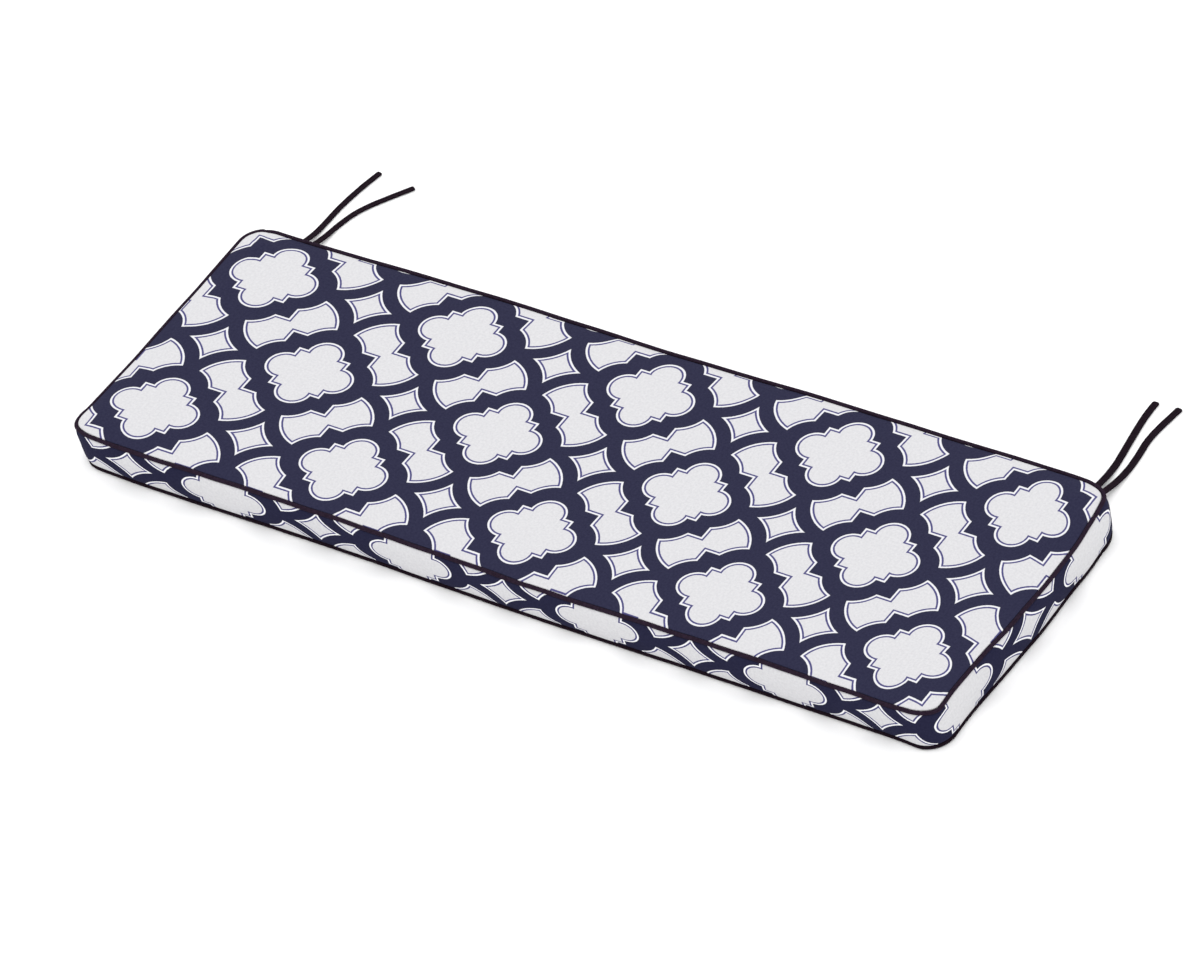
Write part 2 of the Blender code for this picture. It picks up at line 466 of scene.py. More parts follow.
def clothWeave():
    # Plain weave: threads crossing over and under, with uneven yarn. Cloth is in metres.
    tree, given, made = clothGroup("clothWeave")
    halfTurns = vectorCalc(tree, "MULTIPLY", given["Cloth"], (math.pi,) * 3)
    parts = splitVector(tree, scaleVector(tree, halfTurns, 1 / clothSizes["thread"]))
    weave = calc(tree, "MULTIPLY", calc(tree, "SINE", parts["X"]), calc(tree, "SINE", parts["Y"]))
    fine, long = clothSizes["yarnNoise"]
    yarns = []
    for stretch in ((fine, long, 1.0), (long, fine, 1.0)):
        runs = vectorCalc(tree, "MULTIPLY", given["Cloth"], stretch)
        yarns.append(flatNoise(tree, runs, 1.0, *clothSizes["yarnDetail"])[0])
    tone = calc(tree, "MULTIPLY", calc(tree, "ADD", *yarns), 0.5)
    uneven = calc(tree, "MULTIPLY", tone, clothSizes["slub"])
    feed(tree, made["Height"], calc(tree, "ADD", calc(tree, "MULTIPLY_ADD", weave, 0.5, 0.5), uneven))
    feed(tree, made["Tone"], tone)
    return tree


def clothTwill():
    # Fine diagonal ribs, as on bias-cut twill. Cloth is in metres.
    tree, given, made = clothGroup("clothTwill", "Rib", "Slope")
    parts = splitVector(tree, given["Cloth"])
    drift = flatNoise(tree, given["Cloth"], *clothSizes["ribNoise"])[0]
    diagonal = calc(tree, "MULTIPLY_ADD", parts["Y"], given["Slope"], parts["X"])
    turns = calc(tree, "DIVIDE", diagonal, given["Rib"])
    turns = calc(tree, "MULTIPLY_ADD", drift, clothSizes["ribDrift"], turns)
    rib = calc(tree, "SINE", calc(tree, "MULTIPLY", turns, 2 * math.pi))
    feed(tree, made["Height"], calc(tree, "MULTIPLY_ADD", rib, 0.5, 0.5))
    feed(tree, made["Tone"], drift)
    return tree


printTree, weaveTree, twillTree = trellisPrint(), clothWeave(), clothTwill()

printedCloth = {
    "navy": (0.0180, 0.0180, 0.0428, 1.0),
    "navyWorn": (0.0240, 0.0242, 0.0530, 1.0),
    "rim": (0.668, 0.668, 0.684, 1.0),
    "line": (0.066, 0.062, 0.168, 1.0),
    "fill": (0.582, 0.579, 0.593, 1.0),
    "fillShade": (0.523, 0.520, 0.537, 1.0),
    "mottle": (340.0, 3.0, 0.6),  # noise: scale per metre, detail and roughness
    "mottleContrast": 2.6,
    "fray": (420.0, 2.0),
    "edgeRoughness": 0.00030,  # how far the fray shifts the print's edges
    "weaveDepth": 0.00010,
    "weaveBump": 0.5,
    "roughness": (0.80, 0.92),
    "specular": 0.06,
}
shadedBoxingCloth = {  # the top's colours with painted shade for the sides: darker navy, line and fill, a lighter rim
    **printedCloth,
    "navy": (0.0120, 0.0120, 0.0335, 1.0),
    "navyWorn": (0.0158, 0.0160, 0.0405, 1.0),
    "rim": (0.735, 0.735, 0.750, 1.0),
    "line": (0.054, 0.051, 0.145, 1.0),
    "fill": (0.575, 0.572, 0.586, 1.0),
    "fillShade": (0.512, 0.509, 0.526, 1.0),
    "join": (0.006, 0.006, 0.012, 1.0),
    "joinWidth": 0.0007,
    "foldWidth": 0.0035,  # the cloth dips towards its join over this width
    "joinDepth": 0.0006,
}


def mixColours(tree, factor, first, second):
    return put(tree, "ShaderNodeMix", {0: factor, 6: first, 7: second}, data_type="RGBA").outputs[2]


def clothShader(name, look):
    made = bpy.data.materials.new(name)
    made.use_nodes = True
    tree = made.node_tree
    shader = tree.nodes["Principled BSDF"]
    shader.inputs["Specular IOR Level"].default_value = look["specular"]
    if isinstance(look["roughness"], float):
        shader.inputs["Roughness"].default_value = look["roughness"]
    return made, tree, shader


def makePrintedCloth(name, look, middle, halfRepeat, ends=None):
    # middle: a medallion's middle on the cloth map; halfRepeat: (along, across) in metres;
    # ends: where along the map the cloth starts and stops, and is sewn to itself
    made, tree, shader = clothShader(name, look)
    cloth = put(tree, "ShaderNodeUVMap", uv_map="clothMap").outputs[0]
    fray = vectorCalc(tree, "SUBTRACT", flatNoise(tree, cloth, *look["fray"])["Color"], (0.5, 0.5, 0.5))
    pattern = put(tree, "ShaderNodeGroup", {
        "Cloth": vectorCalc(tree, "MULTIPLY_ADD", fray, (look["edgeRoughness"] * 2,) * 3, cloth),
        "Middle": (*middle, 0.0), "Half Repeat": (*halfRepeat, 1.0),
    }, node_tree=printTree).outputs
    weave = put(tree, "ShaderNodeGroup", {"Cloth": cloth}, node_tree=weaveTree).outputs
    mottle = calc(tree, "SUBTRACT", flatNoise(tree, cloth, *look["mottle"])[0], 0.5)
    mottle = calc(tree, "MULTIPLY_ADD", mottle, look["mottleContrast"], weave["Tone"], clamp=True)
    navy = mixColours(tree, mottle, look["navy"], look["navyWorn"])
    fill = mixColours(tree, mottle, look["fillShade"], look["fill"])
    colour = mixColours(tree, pattern["Light"], navy, look["rim"])
    colour = mixColours(tree, pattern["Line"], colour, look["line"])
    colour = mixColours(tree, pattern["Fill"], colour, fill)
    bump = put(tree, "ShaderNodeBump",
               {"Strength": look["weaveBump"], "Distance": look["weaveDepth"], "Height": weave["Height"]})
    if ends:
        along = splitVector(tree, cloth)["X"]
        gaps = [calc(tree, "ABSOLUTE", calc(tree, "SUBTRACT", along, end)) for end in ends]
        away = calc(tree, "MINIMUM", *gaps)
        colour = mixColours(tree, fade(tree, away, look["joinWidth"]), colour, look["join"])
        fold = fade(tree, away, look["foldWidth"])
        groove = put(tree, "ShaderNodeBump", {"Distance": look["joinDepth"], "Height": fold}, invert=True)
        feed(tree, bump.inputs["Normal"], groove.outputs[0])
    feed(tree, shader.inputs["Base Color"], colour)
    low, high = look["roughness"]
    rough = put(tree, "ShaderNodeMapRange", {"Value": weave["Tone"], "To Min": low, "To Max": high})
    feed(tree, shader.inputs["Roughness"], rough.outputs[0])
    feed(tree, shader.inputs["Normal"], bump.outputs[0])
    return made


strapLook = {
    # tones: the piping's cloth painted darker, as painted shade, for the straps; the lower cord shares them
    "tones": ((0.0042, 0.0018, 0.0038, 1.0), (0.0145, 0.0072, 0.0132, 1.0)),
    "rib": 0.0012,  # from one rib to the next
    "slope": 0.9,
    "depth": 0.00012,
    "bump": 0.6,
    "ribShade": 0.75,  # how far the ribs lift the tone
    "darker": 0.35,
    "roughness": 0.86,
    "specular": 0.04,
}
pipingLook = {
    **strapLook,
    # tones: the same cloth painted lighter for the top cord, as painted light where the light falls on it
    "tones": ((0.0078, 0.0040, 0.0084, 1.0), (0.0255, 0.0148, 0.0285, 1.0)),
    "rib": 0.0011,
    "slope": 1.2,
    "depth": 0.00010,
}
# the lower cord: the piping's cloth with the straps' darker tones, as painted shade
shadedLowerPipingLook = {**pipingLook, "tones": strapLook["tones"]}
threadLook = {
    "tones": ((0.008, 0.005, 0.008, 1.0), (0.026, 0.016, 0.024, 1.0)),
    "twist": 2600.0,
    "roughness": 0.55,
    "specular": 0.12,
}


def makeDarkCloth(name, look):
    made, tree, shader = clothShader(name, look)
    cloth = put(tree, "ShaderNodeUVMap", uv_map="clothMap").outputs[0]
    twill = put(tree, "ShaderNodeGroup", {"Cloth": cloth, "Rib": look["rib"], "Slope": look["slope"]},
                node_tree=twillTree).outputs
    tone = calc(tree, "MULTIPLY_ADD", twill["Height"], look["ribShade"], twill["Tone"])
    tone = calc(tree, "SUBTRACT", tone, look["darker"], clamp=True)
    feed(tree, shader.inputs["Base Color"], mixColours(tree, tone, *look["tones"]))
    bump = put(tree, "ShaderNodeBump",
               {"Strength": look["bump"], "Distance": look["depth"], "Height": twill["Height"]})
    feed(tree, shader.inputs["Normal"], bump.outputs[0])
    return made


def makeThread(name, look):
    made, tree, shader = clothShader(name, look)
    where = put(tree, "ShaderNodeTexCoord").outputs["Object"]
    twist = put(tree, "ShaderNodeTexNoise", {"Vector": where, "Scale": look["twist"], "Detail": 1.0})
    feed(tree, shader.inputs["Base Color"], mixColours(tree, twist.outputs[0], *look["tones"]))
    return made


shadedStrapCloth = makeDarkCloth("shadedStrapCloth", strapLook)
litPipingCloth = makeDarkCloth("litPipingCloth", pipingLook)
shadedLowerPipingCloth = makeDarkCloth("shadedLowerPipingCloth", shadedLowerPipingLook)
darkThread = makeThread("darkThread", threadLook)
print("materials made")


bandSettings = {  # a band's inputs that each piece's dictionary holds
    "Squareness": "squareness",
    "Sides": "sides",
    "End Rounding": "endRounding",
    "Wrinkle": "wrinkle",
    "Wrinkles Per Metre": "wrinklesPerMetre",
}
endNarrowing = 0.30  # share of its width that a band loses at its very end


def sweptBand():
    tree, given, made = newGroup(
        "sweptBand",
        "GeometryNodeTree",
        {
            "Path": ("NodeSocketGeometry", None),
            **floats(dict.fromkeys(("Width", "Thickness", "Seed", *bandSettings))),
            "Sides": ("NodeSocketInt", None),
            "Cloth": ("NodeSocketMaterial", None),
        },
        {"Band": "NodeSocketGeometry"},
    )
    curve = shapeStep(tree, "MeshToCurve", {0: given["Path"]})
    curve = shapeStep(tree, "SetCurveNormal", {"Curve": curve}, mode="Z_UP")
    spot = put(tree, "GeometryNodeSplineParameter").outputs
    circle = shapeStep(tree, "CurvePrimitiveCircle", {"Resolution": given["Sides"], "Radius": 1.0})
    kept = {}
    for name, line, place in (("along", curve, spot["Length"]), ("around", circle, spot["Factor"])):
        keeper = tree.nodes.new("GeometryNodeCaptureAttribute")
        keeper.capture_items.new("FLOAT", name)
        feed(tree, keeper.inputs["Geometry"], line)
        feed(tree, keeper.inputs[name], place)
        kept[name] = keeper.outputs

    place = splitVector(tree, shapeStep(tree, "InputPosition"))
    power = calc(tree, "DIVIDE", 2.0, given["Squareness"])
    sides = []
    for axis, size in (("X", "Width"), ("Y", "Thickness")):
        bent = calc(tree, "POWER", calc(tree, "ABSOLUTE", place[axis]), power)
        bent = calc(tree, "MULTIPLY", bent, calc(tree, "SIGN", place[axis]))
        sides.append(calc(tree, "MULTIPLY", bent, calc(tree, "MULTIPLY", given[size], 0.5)))
    section = shapeStep(tree, "SetPosition",
                        {"Geometry": kept["around"]["Geometry"], "Position": joinVector(tree, *sides)})

    # both ends draw in over the rounding length
    left = calc(tree, "SUBTRACT", put(tree, "GeometryNodeSplineLength").outputs["Length"], spot["Length"])
    toEnd = calc(tree, "MINIMUM", spot["Length"], left)
    short = calc(tree, "POWER", fade(tree, toEnd, given["End Rounding"]), 2.0)
    scale = calc(tree, "MULTIPLY_ADD", short, -endNarrowing, 1.0)
    swept = shapeStep(tree, "CurveToMesh", {
        "Curve": kept["along"]["Geometry"], "Profile Curve": section, "Scale": scale, "Fill Caps": True,
    })
    for name, outputs in kept.items():
        stored = {"Geometry": swept, "Name": name, "Value": outputs[name]}
        swept = shapeStep(tree, "StoreNamedAttribute", stored, data_type="FLOAT", domain="POINT")
    lumps = put(tree, "ShaderNodeTexNoise",
                {"W": given["Seed"], "Scale": given["Wrinkles Per Metre"], "Detail": 1.0},
                noise_dimensions="4D").outputs[0]
    lift = calc(tree, "MULTIPLY", calc(tree, "SUBTRACT", lumps, 0.5), given["Wrinkle"])
    offset = scaleVector(tree, shapeStep(tree, "InputNormal"), lift)
    swept = shapeStep(tree, "SetPosition", {"Geometry": swept, "Offset": offset})
    feed(tree, made["Band"], finishShape(tree, swept, given["Cloth"]))
    return tree


stitching = {
    "pitch": 0.0030,
    "size": (0.0005, 0.0005, 0.0021),  # across, high and along the strap
    "edgeDistance": 0.0013,
    "between": (0.015, 0.985),  # shares of the strap's length
    "side": -0.485,  # share of the thickness: just inside the upper face
}


def stitchedStrap(bandTree):
    # The swept band with one row of small stitches along an edge of its upper face.
    inputs = {
        item.name: (item.socket_type, getattr(item, "default_value", None))
        for item in bandTree.interface.items_tree
        if item.in_out == "INPUT"
    }
    tree, given, made = newGroup(
        "stitchedStrap",
        "GeometryNodeTree",
        {**inputs, "Thread": ("NodeSocketMaterial", None)},
        {"Band": "NodeSocketGeometry"},
    )
    band = shapeStep(tree, "Group", {name: given[name] for name in inputs}, node_tree=bandTree)
    first, last = stitching["between"]
    curve = shapeStep(tree, "MeshToCurve", {0: given["Path"]})
    curve = shapeStep(tree, "TrimCurve", {"Curve": curve, "Start": first, "End": last}, mode="FACTOR")
    curve = shapeStep(tree, "SetCurveNormal", {"Curve": curve}, mode="Z_UP")
    row = put(tree, "GeometryNodeCurveToPoints", {"Curve": curve, "Length": stitching["pitch"]},
              mode="LENGTH").outputs
    bead = shapeStep(tree, "MeshUVSphere", {"Segments": 6, "Rings": 4, "Radius": 0.5})
    sideways = calc(tree, "MULTIPLY_ADD", given["Width"], 0.5, -stitching["edgeDistance"])
    spot = joinVector(tree, sideways, calc(tree, "MULTIPLY", given["Thickness"], stitching["side"]))
    bead = shapeStep(tree, "Transform", {"Geometry": bead, "Translation": spot, "Scale": stitching["size"]})
    stitches = shapeStep(tree, "InstanceOnPoints",
                         {"Points": row["Points"], "Instance": bead, "Rotation": row["Rotation"]})
    joined = tree.nodes.new("GeometryNodeJoinGeometry")
    for part in (finishShape(tree, stitches, given["Thread"]), band):
        tree.links.new(part, joined.inputs[0])
    feed(tree, made["Band"], joined.outputs[0])
    return tree


bandTree = sweptBand()
strapTree = stitchedStrap(bandTree)


ties = {
    "thickness": 0.0026,
    "squareness": 3.0,  # 2 is an ellipse, more is squarer
    "sides": 20,
    "rootOutset": 0.0030,  # where the back boxing stands at the roots, past the seam line
    "tuckedIn": 0.0008,  # how far a root goes into its seam
    "spacing": 0.0020,
    "endRounding": 0.0022,
    "endMarks": (0.2, 0.5, 1.0),  # where the route has more points, as shares of the end's rounding
    "wrinkle": 0.00045,
    "wrinklesPerMetre": 120.0,
}

# Width of each strap and its route from the root, in millimetres: (x, distance behind the root, height
# of its middle). A strap that lies flat on the ground has its middle 1.6 mm up.
tieRoutes = {
    "tieLeftOuter": ("tie_left_outer", 0.0079, metres(
        (-557, 0, 12.5), (-556.6, 14, 12), (-555.8, 30, 9.4), (-555, 46, 5.6), (-554.8, 64, 2.6),
        (-554.8, 84, 1.6), (-554.5, 108, 1.6), (-552.5, 132, 1.6), (-549, 158, 1.6), (-544, 184, 1.6),
    )),
    "tieLeftInner": ("tie_left_inner", 0.0079, metres(
        (-544, 0, 12.5), (-543.4, 14, 12), (-542.4, 30, 9.4), (-541.2, 46, 5.8), (-540.2, 62, 3),
        (-538, 84, 1.6), (-532.5, 107, 1.6), (-523.5, 127, 1.6), (-508.5, 151, 1.6), (-491, 177, 1.6),
    )),
    "tieRightInner": ("tie_right_inner", 0.0092, metres(
        (530, 0, 12.5), (530, 14, 12), (529.8, 30, 9.6), (529, 46, 6.4), (528, 64, 3.4), (526.2, 86, 1.6),
        (523, 110, 1.6), (519.6, 134, 1.6), (516.5, 158, 1.6), (515, 178, 1.6), (515, 195, 1.6),
    )),
    "tieRightOuter": ("tie_right_outer", 0.0092, metres(
        (540, 0, 12.5), (540.8, 14, 12), (542, 30, 9.6), (543.3, 46, 6.4), (544, 64, 3.4),
        (543.8, 86, 1.6), (542.2, 108, 1.6), (539.5, 132, 1.6), (540.2, 155, 1.6), (542.8, 176, 1.6),
        (545.5, 196, 1.6),
    )),
}


def evenly(route, spacing, endSteps):
    # The route again at an even spacing, with a few points close to each end for its rounding.
    steps = np.concatenate(([0], np.cumsum(np.linalg.norm(np.diff(route, axis=0), axis=1))))
    inner = np.linspace(endSteps[-1], steps[-1] - endSteps[-1], int(steps[-1] / spacing))
    close = np.array(endSteps[:-1])
    marks = np.concatenate(([0], close, inner, steps[-1] - close[::-1], [steps[-1]]))
    return np.column_stack([np.interp(marks, steps, route[:, axis]) for axis in range(3)]), steps[-1]


def makeTie(name, node, width, points, number):
    rootY = sewn(np.array([[points[0][0], cut["depth"] / 2 + ties["rootOutset"]]]))[0, 1]
    placed = [(x, rootY + behind, height) for x, behind, height in points]
    placed[0] = (placed[0][0], rootY - ties["tuckedIn"], placed[0][2])
    endSteps = [ties["endRounding"] * share for share in ties["endMarks"]]
    route, length = evenly(smoothRoute(placed), ties["spacing"], endSteps)
    strap = pathObject(name, route, closed=False)
    growBand(strap, strapTree, ties, width, ties["thickness"], number, Cloth=shadedStrapCloth, Thread=darkThread)
    mapAlong(strap.data, 2 * (width + ties["thickness"]))
    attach(strap, "root")
    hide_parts(node)


for tieNumber, (tieName, (tieNode, tieWidth, tiePoints)) in enumerate(tieRoutes.items()):
    makeTie(tieName, tieNode, tieWidth, tiePoints, tieNumber)
print("ties made")


piping = {
    "sides": 16,
    "squareness": 2.0,
    "cornerSteps": 24,
    "longSteps": 360,
    "shortSteps": 110,
    "wrinkle": 0.00022,
    "wrinklesPerMetre": 230.0,
    "endRounding": 1e-6,  # none: the cord is closed
    "seed": 5,
}


def makePiping(name, node, seam, offset, height, cloth):
    steps = [piping[part] for part in ("cornerSteps", "longSteps", "shortSteps")]
    ring = sewn(planRing(offset, *steps))
    share, _ = runningShare(planRing(0, *steps))
    side, lift = sum(seamShift(share, seam))
    ring = ring + outwardOf(ring) * side[:, None]
    cord = pathObject(name, np.column_stack((ring, height + lift)), closed=True)
    growBand(cord, bandTree, piping, seams["radius"] * 2, seams["radius"] * 2, piping["seed"], Cloth=cloth)
    mapAlong(cord.data, 2 * math.pi * seams["radius"])
    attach(cord, "root")
    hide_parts(node)


makePiping("pipingTop", "piping_top", "top", 0.0, seams["topHeight"], litPipingCloth)
makePiping("pipingBottom", "piping_bottom", "bottom", -seams["bottomInset"], seams["bottomHeight"],
           shadedLowerPipingCloth)
print("piping made")


cover = {
    "hollow": seams["radius"] + 0.00035,  # a little clear of the piping
    "topHollow": (150, 300),  # degrees round the piping: 0 points outwards and 90 up
    "bottomHollow": (76, 260),
    "hollowSteps": 4,
    # top panel near its seam, in millimetres: (inset, rise, more of it where it hugs the piping)
    "topRoll": metres(
        (30, 6.6, 0), (22.5, 6.2, 0), (16, 5.6, 0.1), (10.5, 4.8, 0.3), (6.6, 3.9, 0.7), (4.2, 3, 0.9),
        (3, 2.1, 1),
    ),
    "hugHollow": ((0.0007, 0.0009), (0.0001, 0.0007)),  # the hollow's first points: outwards, upwards
    # how closely the panel hugs the piping: (x, y, share)
    "hug": ((0.590, 0.0, 1.0), (0.582, 0.180, 0.2), (0.450, 0.201, -1.0), (-0.450, 0.201, -1.0),
            (-0.582, 0.180, 0.2), (-0.590, 0.0, 0.6), (-0.450, -0.201, 1.0), (0.450, -0.201, 1.0)),
    "crown": 0.0078,
    "crownRoll": 0.030,
    # boxing: share of the height between the two hollows, and how far it bulges there
    "boxing": ((0.955, 0.0024), (0.86, 0.0033), (0.72, 0.0038), (0.54, 0.0040), (0.36, 0.0041),
               (0.18, 0.0041), (0.07, 0.0034), (0.02, 0.0019)),
    # soft slanting creases, in millimetres: (way from the front's middle, slant, half width, height)
    "creases": metres(
        (842, 30, 6, 0.7), (880, -34, 5, 1.2), (903, -30, 5, -1), (925, 36, 5.5, 1.2), (700, 30, 7, 0.6),
        (560, -30, 6, 0.8), (330, 40, 9, 0.5), (20, -40, 9, 0.5), (-270, 40, 9, -0.5), (-520, 30, 7, 0.7),
        (-700, -30, 8, 0.6), (-930, 34, 6, 0.9), (-1220, 40, 9, 0.6), (1180, -36, 9, 0.6),
    ),
    "driftReach": 0.045,  # how far in from a seam the panels still follow its drift
    "waverReach": 0.012,
    # fuller places of the boxing: (x, y, extra bulge at its middle)
    "fuller": ((0.588, 0.110, 0.0), (0.584, 0.178, 0.0034), (0.545, 0.201, 0.0), (0.0, 0.201, 0.0),
               (-0.590, 0.0, 0.0), (0.0, -0.201, 0.0)),
    "underside": (0.0075, 0.030),
    "insetRounding": 0.012,  # how softly the sides' distances meet towards a corner
    # the filling: its pressure, the cloth's mass and stiffness, and a cap on how far a point is pushed out
    "pressure": 4.0,
    "mass": 0.3,
    "stretchStiffness": 15.0,
    "shearStiffness": 5.0,
    "bendStiffness": 0.5,
    "quality": 5,
    "frames": 20,
    "swell": 0.0012,
    "medallionTop": (-0.5025, -0.1358),
    "halfRepeatTop": (0.1291, 0.1275),
    # how the print lies on the top, a little out of square once it is stretched over the filling
    "bow": 0.030,
    "lean": 0.0072,
    "fan": 0.0107,
    "roll": 0.096,
    "stretch": (0.19, 0.0116),  # along X towards the front and back: factor, and square of where it is none
    "tuck": (0.0034, 0.024),  # drawn over the back edge: how much there, and how far in it reaches
    # and pulled a little at places: (x, y, reach along X and Y, shift of the cloth along X and Y) in mm
    "pulls": metres(
        (600, 150, 52, 52, 3, 3), (560, -180, 50, 50, 2.8, -2.6), (590, 0, 18, 400, 0, 5),
        (-570, 0, 70, 70, 2, 1), (-570, -80, 10, 120, 1.6, 0), (150, 170, 120, 35, 1.6, -0.9),
        (150, -182, 120, 16, 1.5, -3), (-330, -153, 180, 15, 0, 1.8), (-200, -182, 150, 12, 0.5, -1.4),
        (450, -184, 100, 12, -1, -1.7),
    ),
    "medallionStrip": (0.1360, 0.0050),
    "halfRepeatStrip": (0.12856, 0.0874),
    # the strip's print is eased along it here and there, in mm: (way from the front's middle, shift)
    "stripEase": metres(
        (-800, 0), (-560, 1), (-420, -3), (-300, -7), (0, -7), (200, -5), (400, -1), (550, 3), (610, 14),
        (670, 14), (740, 11), (800, 6), (870, 4), (970, -5), (1050, -3), (1300, 0),
    ),
    "mapOffset": {"top": (0.0, 0.0), "strip": (0.0, 0.40), "bottom": (0.0, -0.60)},
}


def hollowPoints(angles, offset, height):
    radius = cover["hollow"]
    marks = np.radians(np.linspace(*angles, cover["hollowSteps"] + 1))
    return [(offset + radius * math.cos(mark), height + radius * math.sin(mark)) for mark in marks]


def coverSection():
    # Rows from the top panel over the boxing to the underside:
    # (offset, height, seam share, panel, pinned, move outwards and upwards where it hugs the piping)
    rows = [(-inset, seams["topHeight"] + rise, 1.0, "top", False, (0.0, more))
            for inset, rise, more in cover["topRoll"]]
    upper = hollowPoints(cover["topHollow"], 0.0, seams["topHeight"])
    lower = hollowPoints(cover["bottomHollow"], -seams["bottomInset"], seams["bottomHeight"])
    half = cover["hollowSteps"] // 2
    hugs = [*cover["hugHollow"], *[(0.0, 0.0)] * len(upper)]
    for number, (offset, height) in enumerate(upper):
        rows.append((offset, height, 1.0, "top" if number < half else "strip", True, hugs[number]))
    for share, bulge in cover["boxing"]:
        base = -seams["bottomInset"] * (1 - share)
        height = lower[0][1] + (upper[-1][1] - lower[0][1]) * share
        rows.append((base + bulge, height, share, "strip", False, (0.0, 0.0)))
    for number, (offset, height) in enumerate(lower):
        rows.append((offset, height, 0.0, "strip" if number < half else "bottom", True, (0.0, 0.0)))
    rows += [(-inset, 0.0, 0.0, "bottom", True, (0.0, 0.0)) for inset in cover["underside"]]
    return rows


def sidesOf(count):
    # Points of a ring along the four sides of the grid that fills it; its corners are the arcs' middles.
    corner = cut["cornerSteps"] // 2
    columns = cut["longSteps"] + cut["cornerSteps"]
    rows = cut["shortSteps"] + cut["cornerSteps"]
    across, up = np.arange(columns + 1), np.arange(rows + 1)
    front = (corner + columns + rows + across) % count
    back = (corner + columns - across) % count
    left = (corner + columns + rows - up) % count
    right = (corner + 2 * columns + rows + up) % count
    return front, back, left, right


def fillRing(ring, values):
    # Values on a ring blended over an even grid inside it. Rows run front to back.
    front, back, left, right = sidesOf(len(ring))
    s = (ring[front, 0] - ring[front[0], 0]) / (ring[front[-1], 0] - ring[front[0], 0])
    t = (ring[left, 1] - ring[left[0], 1]) / (ring[left[-1], 1] - ring[left[0], 1])
    s, t = s[None, :, None], t[:, None, None]
    grid = (1 - t) * values[front][None] + t * values[back][None]
    grid = grid + (1 - s) * values[left][:, None] + s * values[right][:, None]
    grid = grid - (1 - s) * (1 - t) * values[front[0]] - s * (1 - t) * values[front[-1]]
    return grid - (1 - s) * t * values[back[0]] - s * t * values[back[-1]]


def softInset(plan):
    # Distance in from the nearest side, rounded where two sides are equally near.
    rounding = cover["insetRounding"]
    fromEnd = cut["length"] / 2 - np.abs(plan[..., 0])
    fromSide = cut["depth"] / 2 - np.abs(plan[..., 1])
    return -rounding * np.log(np.exp(-fromEnd / rounding) + np.exp(-fromSide / rounding))


def layPrint(plan):
    # Cloth under each place of the top panel.
    x, y = plan[:, 0], plan[:, 1]
    rolled = cover["roll"] * y * y
    factor, noneAt = cover["stretch"]
    u = x * (1 + factor * (y * y - noneAt)) + cover["bow"] * x * x - cover["lean"] * y + rolled
    tucked, tuckReach = cover["tuck"]
    fromBack = cut["depth"] / 2 - y
    v = y * (1 - cover["fan"] * x) - rolled - tucked * np.exp(-fromBack * fromBack / (2 * tuckReach**2))
    for placeX, placeY, reachX, reachY, along, across in cover["pulls"]:
        share = np.exp(-(((x - placeX) / reachX) ** 2 + ((y - placeY) / reachY) ** 2) / 2)
        u, v = u + along * share, v + across * share
    return np.column_stack((u, v))


def boxingRuns():
    # Way along the boxing from the front's middle for each point of the ring, and the whole way round.
    join = cut["cornerSteps"] + cut["longSteps"] // 2  # the boxing's ends meet at the back
    share, around = runningShare(sewn(planRing(0)))
    runs = (share - share[join]) % 1.0 * around
    return runs - runs[(join + len(runs) // 2) % len(runs)], around


def coverPoints():
    # Every point of the cover: its place, its place on the flat panels and whether the filling moves it.
    section = coverSection()
    seamRing = planRing(0)
    count = len(seamRing)
    runs, _ = boxingRuns()
    share, _ = runningShare(seamRing)
    shifts = {seam: seamShift(share, seam) for seam in ("top", "bottom")}
    extra = byShare(share, [(shareAt(x, y), bulge) for x, y, bulge in cover["fuller"]])[0]
    hug = byShare(share, [(shareAt(x, y), close) for x, y, close in cover["hug"]])[0]
    points, plans, pinned, moves = [], [], [], []
    for offset, height, seamShare, panel, isPinned, (hugOut, hugUp) in section:
        plan = planRing(offset)
        drift, quick = (shifts["top"][part] * seamShare + shifts["bottom"][part] * (1 - seamShare)
                        for part in range(2))
        inset = max(0.0, -offset - cover["hollow"]) if panel != "strip" else 0.0
        drift, quick = (shift * math.exp(-inset / cover[reach])
                        for shift, reach in ((drift, "driftReach"), (quick, "waverReach")))
        side, lift = drift + quick
        if panel == "strip":
            side = side + extra * math.sin(math.pi * seamShare**2)
            for place, slant, halfWidth, high in cover["creases"]:
                away = (runs - place - slant * (seamShare - 0.5)) / halfWidth
                side = side + high * np.exp(-away * away) * math.sin(math.pi * seamShare)
        side = side + hug * hugOut
        move = np.column_stack((outwardOf(plan) * side[:, None], lift * (height > 0) + hug * hugUp))
        points.append(np.column_stack((sewn(plan), np.full(count, height))) + move)
        plans.append(plan + move[:, :2])
        moves.append(move)
        pinned.append(np.full(count, isPinned))
    for row, panel in ((0, "top"), (len(section) - 1, "bottom")):
        ring = planRing(section[row][0])
        inner = fillRing(ring, ring)[1:-1, 1:-1].reshape(-1, 2)
        move = fillRing(ring, moves[row])[1:-1, 1:-1].reshape(-1, 3)
        further = softInset(inner) + section[row][0]
        move *= np.exp(-np.maximum(further, 0.0) / cover["driftReach"])[:, None]
        fromFirst = cover["crown"] - cover["topRoll"][0][1]
        crown = seams["topHeight"] + cover["crown"] - fromFirst * np.exp(-further / cover["crownRoll"])
        high = crown if panel == "top" else np.zeros(len(inner))
        points.append(np.column_stack((sewn(inner), high)) + move)
        plans.append(inner + move[:, :2])
        pinned.append(np.full(len(inner), panel == "bottom"))
    return section, count, np.concatenate(points), np.concatenate(plans), np.concatenate(pinned)


